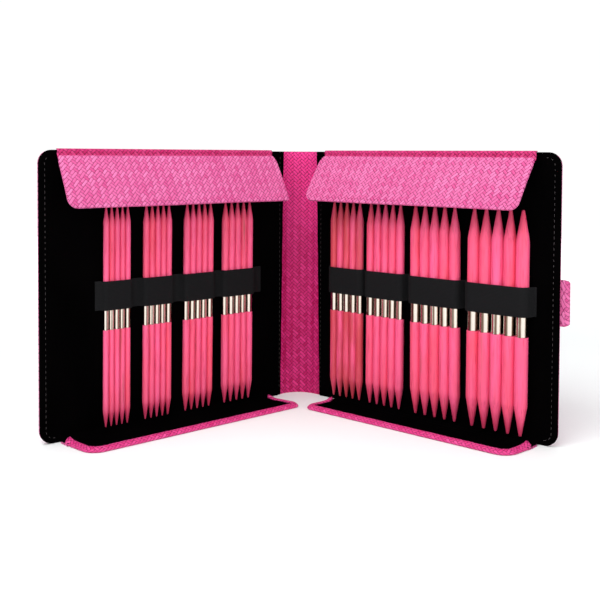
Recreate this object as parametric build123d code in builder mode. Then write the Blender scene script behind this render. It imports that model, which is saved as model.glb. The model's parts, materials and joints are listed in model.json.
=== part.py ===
"""Folding needle case, standing open like a book, with forty double-pointed needles in eight sizes.

Millimetres, +Z up. The case stands on its bottom edges at z = 0, and the origin is the middle of
the spine's foot. -Y is the open side, and the left cover is on -X.

A place on a cover is given as u (away from its hinge, along the cover), n (out of the lined face,
measured from the hinge axis) and z (up). A gusset or flap is drawn in a crease plane: local x runs
along its crease, local y away from the crease, and local z through its thickness.
"""

import os
from math import asin, cos, degrees, radians, sin

from build123d import *

# Covers and spine
REST_ANGLE = 41.0  # each cover stands this far forward of lying flat open, in degrees
SPINE_WIDTH = 34.5  # from one cover's hinge to the other's
SPINE_BOW = 9.0  # how far the soft spine bows backwards
SPINE_BEAD_R = 1.25  # rolled leatherette at a cover's hinge
SPINE_STIFFENER_SHORT = 8.0  # degrees that the stiffener ends short of each hinge
SPINE_LINER_SHORT = 6.0  # the same for the inner leatherette
SPINE_STIFFENER_INSET = 1.5  # from the spine's head and foot
COVER_WIDTH = 204.0  # hinge to fore-edge
COVER_HEIGHT = 194.5
COVER_CORNER = 9.0
COVER_RIM = 1.0  # turned-over edge of the leatherette, round the board
SKIN, BOARD, LINING = 1.0, 2.0, 0.8  # layers of a cover, from the outside in
HINGE_GAP = 0.3  # air round every rolled hinge

# Gussets and flaps
BEAD_R = 0.9  # rolled leatherette at a crease, and half of a gusset's thickness
FLAP_SKIN, FLAP_BOARD, FLAP_LINING = 0.8, 0.8, 0.6
FLAP_CORNER = 7.0
GUSSET_CREASE_N = 1.4  # a gusset's crease runs within the cover's thickness
TOP_FLAP_LENGTH = 42.3
TOP_FLAP_LEAN = 27.6  # from hanging straight down, in degrees
TOP_CREASE_N = 8.6
BOTTOM_FLAP_FRONT = 41.4  # n of the front edge of the flap, which lies on the table
BOTTOM_CREASE_N = {"left": 10.7, "right": 14.2}
# Near and far u of each flap's ends: at its crease, then at its free edge
TOP_FLAP_ENDS = {"left": ((14.5, 194.5), (12.0, 195.5)), "right": ((11.3, 190.0), (6.2, 185.8))}
BOTTOM_FLAP_ENDS = {"left": ((15.5, 191.3), (8.2, 188.3)), "right": ((20.5, 192.5), (16.8, 189.8))}

# Needles: diameter and u of the middle one of each group
NEEDLE_GROUPS = {
    "left": [(4.0, 148.7), (4.5, 116.3), (5.0, 81.3), (5.5, 45.6)],
    "right": [(6.0, 31.5), (6.5, 67.8), (8.0, 112.1), (9.0, 162.1)],
}
NEEDLES_EACH = 5
NEEDLE_LENGTH = 152.0
NEEDLE_FOOT = 4.3  # the lower tips stand this high
NEEDLE_GAP = 0.2  # air between neighbouring needles
TAPER_BASE, TAPER_GROWTH = 2.6, 2.0  # a taper is the base plus this many needle diameters long
TIP_SHARE = 0.12  # radius of the blunt tip over the needle's diameter
SLEEVE_LENGTH = 18.0
SLEEVE_SHARE = 0.88  # outer radius of the sleeve over the wood's
SLEEVE_WALL = 0.5
TENON_LENGTH = 8.5  # how far the wood goes into the sleeve
FIT_GAP = 0.3  # air between needle and lining, and between needle and elastic

# Elastic that holds the needles
ELASTIC_HEIGHT, ELASTIC_MIDDLE_Z, ELASTIC_THICKNESS = 20.0, 95.1, 0.9
ELASTIC_ENDS = {"left": (20.9, 164.5), "right": (11.5, 188.8)}

# Closing strap: root, middle and tip are joined by folds, and the middle is folded back behind
STRAP_HEIGHT, STRAP_MIDDLE_Z, STRAP_THICKNESS = 30.4, 95.4, 1.6
STRAP_ANCHOR_LENGTH, STRAP_ANCHOR_THICKNESS = 24.0, 1.0
STRAP_ROOT_LENGTH = 2.4
STRAP_TIP_LENGTH = 28.0
STRAP_TIP_CORNER = 7.0
STRAP_TIP_LINING = 0.5
STRAP_FOLD_OFFSET = 1.1  # from a fold's axis to the mid-plane of the strap it joins
STRAP_GAP = 0.3  # air between the closed strap and the covers
MAGNET_R, MAGNET_THICKNESS, MAGNET_FIT = 6.0, 1.0, 0.2
MAGNET_FROM_FOLD = 14.0

# Worked out from the driving dimensions
HALF_SPINE = SPINE_WIDTH / 2
SPINE_RADIUS = (HALF_SPINE**2 + SPINE_BOW**2) / (2 * SPINE_BOW)
SPINE_HALF_ANGLE = degrees(asin(HALF_SPINE / SPINE_RADIUS))
COVER_START = SPINE_BEAD_R + HINGE_GAP
LINED_FACE = SKIN / 2 + BOARD + LINING
NOTCH = BEAD_R + HINGE_GAP
STRAP_AXIS_N = -SKIN / 2 - STRAP_THICKNESS / 2
STRAP_AXIS_U = COVER_WIDTH + STRAP_THICKNESS / 2 + STRAP_GAP
STRAP_MIDDLE_LENGTH = SPINE_WIDTH + SKIN + STRAP_THICKNESS + HINGE_GAP - STRAP_ROOT_LENGTH
SIDES = {"left": -1, "right": 1}

os.makedirs("parts", exist_ok=True)


def finish(piece, label):
    """Name a finished piece and write its STEP file."""
    piece.part.label = label
    export_step(piece.part, f"parts/{label}.step")


# Places and planes


def place(side, u, n, z):
    """World point of a place on one cover."""
    turn = radians(REST_ANGLE)
    x = side * (HALF_SPINE + u * cos(turn) - n * sin(turn))
    return Vector(x, -SPINE_BOW - u * sin(turn) - n * cos(turn), z)


def along(side):
    """Direction along a cover that points to +X: away from the hinge on the right, to it on the left."""
    turn = radians(REST_ANGLE)
    return Vector(cos(turn), -side * sin(turn), 0)


def cover_plane(side, n=0.0):
    """Plane of a cover: local x is side * u, local y is z, local z is n."""
    return crease_plane(side, n, 0.0, 0.0)


def crease_plane(side, n, z, angle):
    """Plane whose local y leans from straight up towards the lined side by the angle."""
    inwards = place(side, 0, 1, 0) - place(side, 0, 0, 0)
    lean = radians(angle)
    normal = inwards * cos(lean) - Vector(0, 0, 1) * sin(lean)
    return Plane(origin=place(side, 0, n, z), x_dir=along(side), z_dir=normal)


def bead_plane(plane, side, near):
    """Plane across the near end of a crease, facing away from the cover's hinge."""
    return Plane(origin=plane.from_local_coords((side * near, 0, 0)), z_dir=plane.x_dir * side)


# Outlines


def bar(side, near, far, low, high):
    """A rectangle from near to far along the cover, in the current sketch."""
    with Locations((side * (near + far) / 2, (low + high) / 2)):
        Rectangle(far - near, high - low)


def cover_outline(name, side, inset):
    """A cover's outline with rounded fore-edge corners, notched where the gussets hinge."""
    with BuildSketch() as outline:
        bar(side, COVER_START + inset, COVER_WIDTH - inset, inset, COVER_HEIGHT - inset)
        corners = outline.vertices().group_by(Axis.X)[-1 if side > 0 else 0]
        fillet(corners, COVER_CORNER - inset)
        (top_near, top_far), _ = TOP_FLAP_ENDS[name]
        (bottom_near, bottom_far), _ = BOTTOM_FLAP_ENDS[name]
        with Locations((side * (top_near + top_far) / 2, COVER_HEIGHT)):
            Rectangle(top_far - top_near + 2 * HINGE_GAP, 2 * (NOTCH + inset), mode=Mode.SUBTRACT)
        with Locations((side * (bottom_near + bottom_far) / 2, 0)):
            width = bottom_far - bottom_near + 2 * HINGE_GAP
            Rectangle(width, 2 * (BEAD_R + NOTCH + inset), mode=Mode.SUBTRACT)
    return outline.sketch


def flap_outline(side, ends, length, start, inset=0.0):
    """A flap's outline, from start to its free edge, with its two free corners rounded."""
    (near, far), (free_near, free_far) = ends
    share = start / length
    corners = [
        (near + share * (free_near - near) + inset, start),
        (far + share * (free_far - far) - inset, start),
        (free_far - inset, length - inset),
        (free_near + inset, length - inset),
    ]
    with BuildSketch() as outline:
        with BuildLine():
            Polyline(*[(side * u, y) for u, y in corners], close=True)
        make_face()
        fillet(outline.vertices().group_by(Axis.Y)[-1], FLAP_CORNER)
    return outline.sketch


def arc_band(inner, outer, half_angle):
    """Section of a spine layer, between two radii."""
    with BuildSketch() as band:
        with BuildLine():
            centre = (0, -SPINE_RADIUS)
            inner_arc = CenterArc(centre, inner, 90 - half_angle, 2 * half_angle)
            outer_arc = CenterArc(centre, outer, 90 - half_angle, 2 * half_angle)
            Line(inner_arc @ 0, outer_arc @ 0)
            Line(inner_arc @ 1, outer_arc @ 1)
        make_face()
    return band.sketch


# Spine


def make_spine():
    middle = SPINE_RADIUS
    with BuildPart() as outer_skin:
        with BuildSketch():
            add(arc_band(middle - SKIN / 2, middle + SKIN / 2, SPINE_HALF_ANGLE))
            with Locations((HALF_SPINE, -SPINE_BOW), (-HALF_SPINE, -SPINE_BOW)):
                Circle(SPINE_BEAD_R)
        extrude(amount=COVER_HEIGHT)
    finish(outer_skin, "spine_outer_skin")

    stiffener_outer = middle - SKIN / 2
    liner_outer = stiffener_outer - FLAP_BOARD
    with BuildPart() as stiffener:
        with BuildSketch(Plane.XY.offset(SPINE_STIFFENER_INSET)):
            add(arc_band(liner_outer, stiffener_outer, SPINE_HALF_ANGLE - SPINE_STIFFENER_SHORT))
        extrude(amount=COVER_HEIGHT - 2 * SPINE_STIFFENER_INSET)
    finish(stiffener, "spine_stiffener")

    with BuildPart() as inner_skin:
        with BuildSketch():
            add(arc_band(liner_outer - FLAP_SKIN, liner_outer, SPINE_HALF_ANGLE - SPINE_LINER_SHORT))
        extrude(amount=COVER_HEIGHT)
    finish(inner_skin, "spine_inner_skin")


# Covers


def make_cover(name, side):
    magnet_at = (side * (COVER_WIDTH + STRAP_GAP - MAGNET_FROM_FOLD), STRAP_MIDDLE_Z)
    with BuildPart() as skin:
        with BuildSketch(cover_plane(side, -SKIN / 2)):
            add(cover_outline(name, side, 0))
        extrude(amount=SKIN + BOARD)
        with BuildSketch(cover_plane(side, SKIN / 2)):
            add(cover_outline(name, side, COVER_RIM))
        extrude(amount=BOARD, mode=Mode.SUBTRACT)
    finish(skin, f"{name}_cover_skin")

    with BuildPart() as board:
        with BuildSketch(cover_plane(side, SKIN / 2)):
            add(cover_outline(name, side, COVER_RIM))
            if name == "left":
                with Locations(magnet_at):
                    Circle(MAGNET_R + MAGNET_FIT, mode=Mode.SUBTRACT)
        extrude(amount=BOARD)
    finish(board, f"{name}_cover_board")

    with BuildPart() as lining:
        with BuildSketch(cover_plane(side, SKIN / 2 + BOARD)):
            add(cover_outline(name, side, COVER_RIM / 2))
        extrude(amount=LINING)
    finish(lining, f"{name}_cover_lining")

    if name == "left":
        with BuildPart() as magnet:
            with BuildSketch(cover_plane(side, SKIN / 2)):
                with Locations(magnet_at):
                    Circle(MAGNET_R)
            extrude(amount=BOARD)
        finish(magnet, "left_cover_magnet")


def make_elastic(name, side):
    """One band, sewn down between the groups and raised over each."""
    low = LINED_FACE
    start, end = ELASTIC_ENDS[name]
    top_z = ELASTIC_MIDDLE_Z + ELASTIC_HEIGHT / 2
    with BuildPart() as band:
        with BuildSketch(Plane(origin=place(side, 0, 0, top_z), x_dir=along(side), z_dir=(0, 0, -1))):
            bar(side, start, end, low, low + ELASTIC_THICKNESS)
            for diameter, middle in NEEDLE_GROUPS[name]:
                reach = (NEEDLES_EACH - 1) / 2 * (diameter + NEEDLE_GAP) + diameter / 2 + FIT_GAP
                top = low + diameter + 2 * FIT_GAP
                wall = ELASTIC_THICKNESS
                bar(side, middle - reach - wall, middle + reach + wall, low, top + wall)
                with Locations((side * middle, (low + top) / 2)):
                    Rectangle(2 * reach, top - low, mode=Mode.SUBTRACT)
        extrude(amount=ELASTIC_HEIGHT)
    finish(band, f"{name}_elastic_band")


# Gussets and flaps


def make_gusset(label, side, plane, near, far, length):
    with BuildPart() as gusset:
        with BuildSketch(plane.offset(-BEAD_R)):
            bar(side, near, far, 0, length - NOTCH)
        extrude(amount=2 * BEAD_R)
        with BuildSketch(bead_plane(plane, side, near)):
            Circle(BEAD_R)
        extrude(amount=far - near)
    finish(gusset, label)


def make_flap(label, side, plane, outside, ends, length):
    """Three layers on a crease; outside is the sign of local z on the leatherette's side."""
    skin_from = outside * (BEAD_R - FLAP_SKIN)
    near, far = ends[0]
    with BuildPart() as skin:
        with BuildSketch(plane.offset(skin_from)):
            add(flap_outline(side, ends, length, 0))
        extrude(amount=outside * FLAP_SKIN)
        with BuildSketch(bead_plane(plane, side, near)):
            Circle(BEAD_R)
        extrude(amount=far - near)
    finish(skin, f"{label}_skin")

    with BuildPart() as board:
        with BuildSketch(plane.offset(skin_from)):
            add(flap_outline(side, ends, length, NOTCH, COVER_RIM))
        extrude(amount=-outside * FLAP_BOARD)
    finish(board, f"{label}_board")

    with BuildPart() as lining:
        with BuildSketch(plane.offset(skin_from - outside * FLAP_BOARD)):
            add(flap_outline(side, ends, length, NOTCH))
        extrude(amount=-outside * FLAP_LINING)
    finish(lining, f"{label}_lining")


def make_folds(name, side):
    top_ends, bottom_ends = TOP_FLAP_ENDS[name], BOTTOM_FLAP_ENDS[name]
    roof = crease_plane(side, GUSSET_CREASE_N, COVER_HEIGHT, 90)
    make_gusset(f"{name}_top_gusset", side, roof, *top_ends[0], TOP_CREASE_N - GUSSET_CREASE_N)
    leaning = crease_plane(side, TOP_CREASE_N, COVER_HEIGHT, 180 - TOP_FLAP_LEAN)
    make_flap(f"{name}_top_flap", side, leaning, -1, top_ends, TOP_FLAP_LENGTH)

    bottom_crease = BOTTOM_CREASE_N[name]
    floor = crease_plane(side, GUSSET_CREASE_N, BEAD_R, 90)
    make_gusset(f"{name}_bottom_gusset", side, floor, *bottom_ends[0], bottom_crease - GUSSET_CREASE_N)
    flat = crease_plane(side, bottom_crease, BEAD_R, 90)
    make_flap(f"{name}_bottom_flap", side, flat, 1, bottom_ends, BOTTOM_FLAP_FRONT - bottom_crease)


# Needles


def needle_pieces(diameter):
    """One upper point, one sleeve and one lower point, standing on the Z axis with the middle at z = 0."""
    wood_r = diameter / 2
    sleeve_r = SLEEVE_SHARE * wood_r
    tenon_r = sleeve_r - SLEEVE_WALL
    tip_r = TIP_SHARE * diameter
    half_sleeve, half_needle = SLEEVE_LENGTH / 2, NEEDLE_LENGTH / 2
    shoulder = half_needle - TAPER_BASE - TAPER_GROWTH * diameter
    slope = asin((wood_r - tip_r) / (half_needle - tip_r - shoulder))
    tip_centre = half_needle - tip_r
    with BuildPart() as upper:
        with BuildSketch(Plane.XZ):
            with BuildLine():
                tangent = (tip_r * cos(slope), tip_centre + tip_r * sin(slope))
                Polyline(
                    (0, half_needle - tip_r),
                    (0, half_sleeve - TENON_LENGTH),
                    (tenon_r, half_sleeve - TENON_LENGTH),
                    (tenon_r, half_sleeve),
                    (wood_r, half_sleeve),
                    (wood_r, shoulder),
                    tangent,
                )
                CenterArc((0, tip_centre), tip_r, degrees(slope), 90 - degrees(slope))
                Line((0, half_needle), (0, half_needle - tip_r))
            make_face()
        revolve(axis=Axis.Z)
    with BuildPart() as sleeve:
        with BuildSketch(Plane.XY.offset(-half_sleeve)):
            Circle(sleeve_r)
            Circle(tenon_r, mode=Mode.SUBTRACT)
        extrude(amount=SLEEVE_LENGTH)
    with BuildPart() as lower:
        add(mirror(upper.part, about=Plane.XY, mode=Mode.PRIVATE))
    return {"upper_points": upper.part, "sleeves": sleeve.part, "lower_points": lower.part}


def make_needles(name, side):
    for diameter, middle in NEEDLE_GROUPS[name]:
        pitch = diameter + NEEDLE_GAP
        n = LINED_FACE + FIT_GAP + diameter / 2
        first = middle - (NEEDLES_EACH - 1) / 2 * pitch
        centre_z = NEEDLE_FOOT + NEEDLE_LENGTH / 2
        places = [place(side, first + index * pitch, n, centre_z) for index in range(NEEDLES_EACH)]
        size = f"{diameter:.1f}".replace(".", "_")
        for piece_name, piece in needle_pieces(diameter).items():
            with BuildPart() as group:
                with Locations(*places):
                    add(piece)
            finish(group, f"needle_{size}_{piece_name}")


# Closing strap


def make_strap(side):
    low_z, high_z = STRAP_MIDDLE_Z - STRAP_HEIGHT / 2, STRAP_MIDDLE_Z + STRAP_HEIGHT / 2
    half = STRAP_THICKNESS / 2
    second_u = STRAP_AXIS_U + STRAP_ROOT_LENGTH
    second_n = STRAP_AXIS_N - STRAP_FOLD_OFFSET
    middle_n = second_n - STRAP_FOLD_OFFSET
    third_u = second_u - STRAP_MIDDLE_LENGTH
    fold_r = STRAP_FOLD_OFFSET

    with BuildPart() as anchor:
        with BuildSketch(cover_plane(side, -SKIN / 2)):
            bar(side, COVER_WIDTH - STRAP_ANCHOR_LENGTH, COVER_WIDTH, low_z, high_z)
            fillet(vertices().group_by(Axis.X)[0], STRAP_TIP_CORNER)
        extrude(amount=-STRAP_ANCHOR_THICKNESS)
    finish(anchor, "strap_anchor")

    with BuildPart() as root:
        with BuildSketch(cover_plane(side, STRAP_AXIS_N - half)):
            bar(side, STRAP_AXIS_U, second_u - fold_r - HINGE_GAP, low_z, high_z)
        extrude(amount=STRAP_THICKNESS)
        with BuildSketch(Plane(origin=place(side, STRAP_AXIS_U, STRAP_AXIS_N, low_z))):
            Circle(half)
        extrude(amount=STRAP_HEIGHT)
    finish(root, "strap_root")

    with BuildPart() as middle:
        with BuildSketch(cover_plane(side, middle_n - half)):
            bar(side, third_u + half + HINGE_GAP, second_u, low_z, high_z)
        extrude(amount=STRAP_THICKNESS)
        with BuildSketch(Plane(origin=place(side, second_u, second_n, low_z))):
            Circle(fold_r)
        extrude(amount=STRAP_HEIGHT)
    finish(middle, "strap_middle")

    tip_end = third_u - STRAP_TIP_LENGTH
    magnet_at = (side * (third_u - MAGNET_FROM_FOLD), STRAP_MIDDLE_Z)
    facing = middle_n + half - STRAP_TIP_LINING
    with BuildSketch() as tip_outline:
        bar(side, tip_end, third_u, low_z, high_z)
        fillet(tip_outline.vertices().group_by(Axis.X)[0], STRAP_TIP_CORNER)
    with BuildPart() as tip:
        with BuildSketch(cover_plane(side, middle_n - half)):
            add(tip_outline.sketch)
        extrude(amount=STRAP_THICKNESS - STRAP_TIP_LINING)
        with BuildSketch(Plane(origin=place(side, third_u, middle_n, low_z))):
            Circle(half)
        extrude(amount=STRAP_HEIGHT)
        with BuildSketch(cover_plane(side, facing)):
            with Locations(magnet_at):
                Circle(MAGNET_R + MAGNET_FIT)
        extrude(amount=-MAGNET_THICKNESS, mode=Mode.SUBTRACT)
    finish(tip, "strap_tip")

    with BuildPart() as tip_lining:
        with BuildSketch(cover_plane(side, facing)):
            bar(side, tip_end, third_u - half - HINGE_GAP, low_z, high_z)
            fillet(vertices().group_by(Axis.X)[0], STRAP_TIP_CORNER)
        extrude(amount=STRAP_TIP_LINING)
    finish(tip_lining, "strap_tip_lining")

    with BuildPart() as magnet:
        with BuildSketch(cover_plane(side, facing)):
            with Locations(magnet_at):
                Circle(MAGNET_R)
        extrude(amount=-MAGNET_THICKNESS)
    finish(magnet, "strap_magnet")


make_spine()
for cover_name, cover_side in SIDES.items():
    make_cover(cover_name, cover_side)
    make_elastic(cover_name, cover_side)
    make_folds(cover_name, cover_side)
    make_needles(cover_name, cover_side)
make_strap(SIDES["right"])
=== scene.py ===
# Looks for the folding needle case: leatherette, suede, elastic, dyed wood and metal round the packed
# CAD model. Places on a cover are given in millimetres as u (along it from its hinge), n (out of its
# lined face) and z (up), as in the model. Everything is turned into metres where it becomes a mesh.

import json
import math
import random

import bmesh
import bpy
from mathutils import Vector
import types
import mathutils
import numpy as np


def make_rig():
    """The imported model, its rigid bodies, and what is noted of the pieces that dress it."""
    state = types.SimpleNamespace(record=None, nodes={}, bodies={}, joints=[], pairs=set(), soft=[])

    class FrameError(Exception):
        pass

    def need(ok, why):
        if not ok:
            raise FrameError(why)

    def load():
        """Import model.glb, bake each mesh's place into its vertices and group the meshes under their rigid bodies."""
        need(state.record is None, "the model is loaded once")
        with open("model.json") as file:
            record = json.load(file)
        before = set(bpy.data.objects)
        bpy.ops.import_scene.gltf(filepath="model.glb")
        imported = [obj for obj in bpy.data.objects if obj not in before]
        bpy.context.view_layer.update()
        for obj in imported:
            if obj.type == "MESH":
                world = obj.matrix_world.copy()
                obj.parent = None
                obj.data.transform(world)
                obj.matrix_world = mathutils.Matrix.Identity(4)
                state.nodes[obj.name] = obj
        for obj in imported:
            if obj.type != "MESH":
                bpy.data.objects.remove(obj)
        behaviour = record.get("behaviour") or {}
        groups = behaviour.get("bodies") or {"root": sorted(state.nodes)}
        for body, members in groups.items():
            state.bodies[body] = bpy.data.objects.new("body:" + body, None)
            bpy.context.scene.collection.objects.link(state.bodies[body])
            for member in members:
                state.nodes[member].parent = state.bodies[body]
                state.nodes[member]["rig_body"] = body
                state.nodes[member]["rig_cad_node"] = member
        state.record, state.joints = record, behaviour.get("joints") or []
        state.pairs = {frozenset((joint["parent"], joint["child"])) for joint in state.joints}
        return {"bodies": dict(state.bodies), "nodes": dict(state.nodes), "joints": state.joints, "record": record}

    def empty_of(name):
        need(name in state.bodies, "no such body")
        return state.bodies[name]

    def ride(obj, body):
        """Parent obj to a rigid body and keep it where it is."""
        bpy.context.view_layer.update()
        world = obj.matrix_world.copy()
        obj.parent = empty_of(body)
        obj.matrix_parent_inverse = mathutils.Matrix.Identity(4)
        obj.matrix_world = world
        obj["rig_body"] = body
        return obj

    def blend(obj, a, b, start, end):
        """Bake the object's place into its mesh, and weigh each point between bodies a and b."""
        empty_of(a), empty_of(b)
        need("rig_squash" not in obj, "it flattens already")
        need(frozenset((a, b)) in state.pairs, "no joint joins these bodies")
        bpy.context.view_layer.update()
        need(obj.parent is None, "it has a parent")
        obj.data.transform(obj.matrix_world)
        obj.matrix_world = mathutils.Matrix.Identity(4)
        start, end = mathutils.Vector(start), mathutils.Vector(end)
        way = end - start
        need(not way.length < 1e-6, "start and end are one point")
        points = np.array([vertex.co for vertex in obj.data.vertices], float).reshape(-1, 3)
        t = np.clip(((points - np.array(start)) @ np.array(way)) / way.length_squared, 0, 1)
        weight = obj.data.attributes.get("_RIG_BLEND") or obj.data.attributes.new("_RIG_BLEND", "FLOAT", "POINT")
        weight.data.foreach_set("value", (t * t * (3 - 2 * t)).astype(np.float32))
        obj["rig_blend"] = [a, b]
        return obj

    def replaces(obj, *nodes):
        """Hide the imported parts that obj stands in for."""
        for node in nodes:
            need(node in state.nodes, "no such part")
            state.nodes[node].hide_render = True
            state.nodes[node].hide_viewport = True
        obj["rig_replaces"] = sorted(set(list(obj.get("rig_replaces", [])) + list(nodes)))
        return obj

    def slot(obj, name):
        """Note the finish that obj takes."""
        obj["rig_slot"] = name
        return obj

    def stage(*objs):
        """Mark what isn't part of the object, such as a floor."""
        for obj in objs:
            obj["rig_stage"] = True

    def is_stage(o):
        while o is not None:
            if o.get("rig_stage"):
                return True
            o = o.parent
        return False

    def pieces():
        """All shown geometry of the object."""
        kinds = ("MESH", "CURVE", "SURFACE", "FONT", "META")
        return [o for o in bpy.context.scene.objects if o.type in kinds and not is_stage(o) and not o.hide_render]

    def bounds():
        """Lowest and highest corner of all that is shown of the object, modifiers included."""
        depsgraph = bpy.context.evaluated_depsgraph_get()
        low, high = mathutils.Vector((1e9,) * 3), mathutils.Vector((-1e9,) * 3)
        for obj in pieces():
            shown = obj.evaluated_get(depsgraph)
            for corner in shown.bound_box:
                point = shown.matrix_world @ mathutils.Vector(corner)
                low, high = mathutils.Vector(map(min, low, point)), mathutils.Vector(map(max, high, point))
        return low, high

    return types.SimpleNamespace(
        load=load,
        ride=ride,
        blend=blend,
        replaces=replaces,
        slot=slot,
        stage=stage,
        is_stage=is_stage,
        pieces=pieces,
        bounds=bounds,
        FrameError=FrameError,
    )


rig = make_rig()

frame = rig.load()
cad_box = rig.bounds()
random.seed(7)

MM = 0.001
UP = Vector((0, 0, 1))
JOINTS = {joint["name"]: joint for joint in frame["joints"]}

# Covers (mm), as the model has them
COVER_WIDTH, COVER_HEIGHT, COVER_CORNER = 204.0, 194.5, 9.0
COVER_START = 1.6
BACK_FACE, LINED_FACE = -0.5, 3.3
LEATHER_TOP = {"left": 0.5, "right": 0.2}  # n where the leatherette ends and the suede wraps the board's edge
HINGE_SEAM = {"left": 0.9, "right": 2.3}  # u of the stitching beside the hinge
HINGE_SUEDE = {"left": (2.3, 5.0), "right": (0.3, 4.4)}  # suede beyond the hinge at the foot and head

# Flaps (mm): near and far u of each end, at the crease and then at the free edge
TOP_FLAP_ENDS = {"left": ((14.5, 194.5), (12.0, 195.5)), "right": ((11.3, 190.0), (6.2, 185.8))}
BOTTOM_FLAP_ENDS = {"left": ((15.5, 191.3), (8.2, 188.3)), "right": ((20.5, 192.5), (16.8, 189.8))}
TOP_FLAP_LENGTH, BOTTOM_FLAP_FRONT = 42.3, 41.4
TOP_FLAP_LEAN = 27.6  # degrees from hanging straight down
FREE_CORNERS = {"left": (1.8, 6.5), "right": (6.5, 6.5)}  # near and far radius of a top flap's free corners
FLAP_OUTER, FLAP_INNER = 0.9, -1.3  # faces of a flap, from its crease
CREASE_R = 0.9  # radius of a crease's roll
GUSSET_CREASE_N = 1.4  # n of the crease between a cover and its gussets
GROOVE_END = 4.4  # where a top flap's plate begins below its crease

# Needles: diameter and u of the middle of each group (mm)
GROUPS = {
    "left": [(4.0, 148.7), (4.5, 116.3), (5.0, 81.3), (5.5, 45.6)],
    "right": [(6.0, 31.5), (6.5, 67.8), (8.0, 112.1), (9.0, 162.1)],
}
EACH = 5
LEANS = {4.0: -0.006, 4.5: -0.008, 5.0: -0.011, 5.5: -0.006, 6.0: -0.002, 6.5: 0.001, 8.0: -0.009, 9.0: 0.001}
NEEDLE_LENGTH, NEEDLE_FOOT, NEEDLE_GAP, FIT_GAP = 152.0, 4.3, 0.2, 0.3
NEEDLE_MIDDLE = NEEDLE_FOOT + NEEDLE_LENGTH / 2
TAPER_BASE, TAPER_GROWTH, TIP_SHARE = 2.6, 2.0, 0.12
SLEEVE_LENGTH, SLEEVE_SHARE = 18.0, 0.88
FIRST_RIGHT = 40  # number of the right cover's first needle, in the group that is stained darker
LOWER_POINT = 100.0  # added to a needle's number at its lower point
GOLDEN = 0.618  # turns the needles' numbers into chances spread evenly from 0 to 1

WEAVE_WIDTH = 0.0021  # of one strip of the leatherette's braid, in metres
SOFT_EDGE_ANGLE = 70  # degrees: edges of a sheet that are sharper are rounded

# Elastic (mm)
ELASTIC_ENDS = {"left": (20.9, 164.5), "right": (11.5, 188.8)}
ELASTIC_MIDDLE, ELASTIC_HEIGHT, ELASTIC_THICKNESS = 95.1, 20.0, 0.9

# Strap (mm)
STRAP_MIDDLE_Z, STRAP_HEIGHT = 95.4, 30.4
STRAP_ANCHOR_LENGTH, STRAP_ANCHOR_THICKNESS, STRAP_TIP_LENGTH, STRAP_CORNER = 24.0, 1.0, 28.0, 7.0

# Camera
CAMERA_PLACE, CAMERA_PITCH, CAMERA_ROLL = (0.0, -0.7497, 0.1922), 0.039, -0.005
CAMERA_LENS, CAMERA_SHIFT = 55.9, -0.182

# Studio: lamp powers in watts, the floor's own glow and the brightness overhead
KEY_POWER, FILL_POWER, TOP_POWER = 13.0, 3.0, 6.0
FLOOR_GLOW, OVERHEAD = 0.04, 0.3


# ---------------------------------------------------------------- places


class Cover:
    """One cover's own frame, from the model's joints."""

    def __init__(self, name):
        self.name = name
        self.side = -1 if name == "left" else 1
        hinge = Vector(JOINTS[f"{name}_cover_hinge"]["pos_m"])
        self.origin = Vector((hinge.x, hinge.y, 0))
        self.u = Vector(JOINTS[f"{name}_top_gusset_fold"]["axis"]) * self.side
        self.n = UP.cross(self.u) * -self.side
        self.top_crease = self.local(JOINTS[f"{name}_top_flap_fold"]["pos_m"])
        self.bottom_crease = self.local(JOINTS[f"{name}_bottom_flap_fold"]["pos_m"])

    def local(self, point):
        """(n, z) in mm of a world point."""
        offset = Vector(point) - self.origin
        return offset.dot(self.n) / MM, offset.z / MM

    def at(self, u, n, z):
        """World point, in metres, of a place in mm."""
        return self.origin + (self.u * u + self.n * n + UP * z) * MM

    def sheet(self, n):
        """Where a panel's (x, y, height) lie, with its face at n."""
        return lambda x, y, height: self.at(self.side * x, n + height, y)


LEFT, RIGHT = Cover("left"), Cover("right")
COVERS = (LEFT, RIGHT)


# ---------------------------------------------------------------- meshes


def new_object(name, mesh, material):
    for polygon in mesh.polygons:
        polygon.use_smooth = True
    thing = bpy.data.objects.new(name, mesh)
    bpy.context.scene.collection.objects.link(thing)
    mesh.materials.append(material)
    return thing


def from_bmesh(name, bm, material):
    mesh = bpy.data.meshes.new(name)
    bm.to_mesh(mesh)
    bm.free()
    return new_object(name, mesh, material)


def distances(points):
    """How far along a path each of its points is."""
    total = [0.0]
    for a, b in zip(points, points[1:]):
        total.append(total[-1] + (b - a).length)
    return total


def strip(name, rows, material):
    """A grid of points, rows by columns, with a UV map in metres measured along it."""
    columns = len(rows[0])
    points = [p for row in rows for p in row]
    faces = []
    for r in range(len(rows) - 1):
        for c in range(columns - 1):
            a = r * columns + c
            faces.append((a, a + 1, a + columns + 1, a + columns))
    mesh = bpy.data.meshes.new(name)
    mesh.from_pydata(points, [], faces)
    down = distances([row[0] for row in rows])
    across = distances(rows[0])
    uvs = [(x, -y) for y in down for x in across]
    layer = mesh.uv_layers.new(name="UVMap")
    for loop in mesh.loops:
        layer.data[loop.index].uv = uvs[loop.vertex_index]
    mesh.validate()
    return new_object(name, mesh, material)


def thicken(thing, thickness, offset=-1.0, round_edges=0.35, segments=3):
    """Give a sheet its thickness in mm, and round its edges."""
    solid = thing.modifiers.new("thickness", "SOLIDIFY")
    solid.thickness = thickness * MM
    solid.offset = offset
    solid.use_even_offset = False
    bevel = thing.modifiers.new("soft_edge", "BEVEL")
    bevel.width = round_edges * MM
    bevel.segments = segments
    bevel.limit_method = "ANGLE"
    bevel.angle_limit = math.radians(SOFT_EDGE_ANGLE)
    bevel.harden_normals = False


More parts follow.
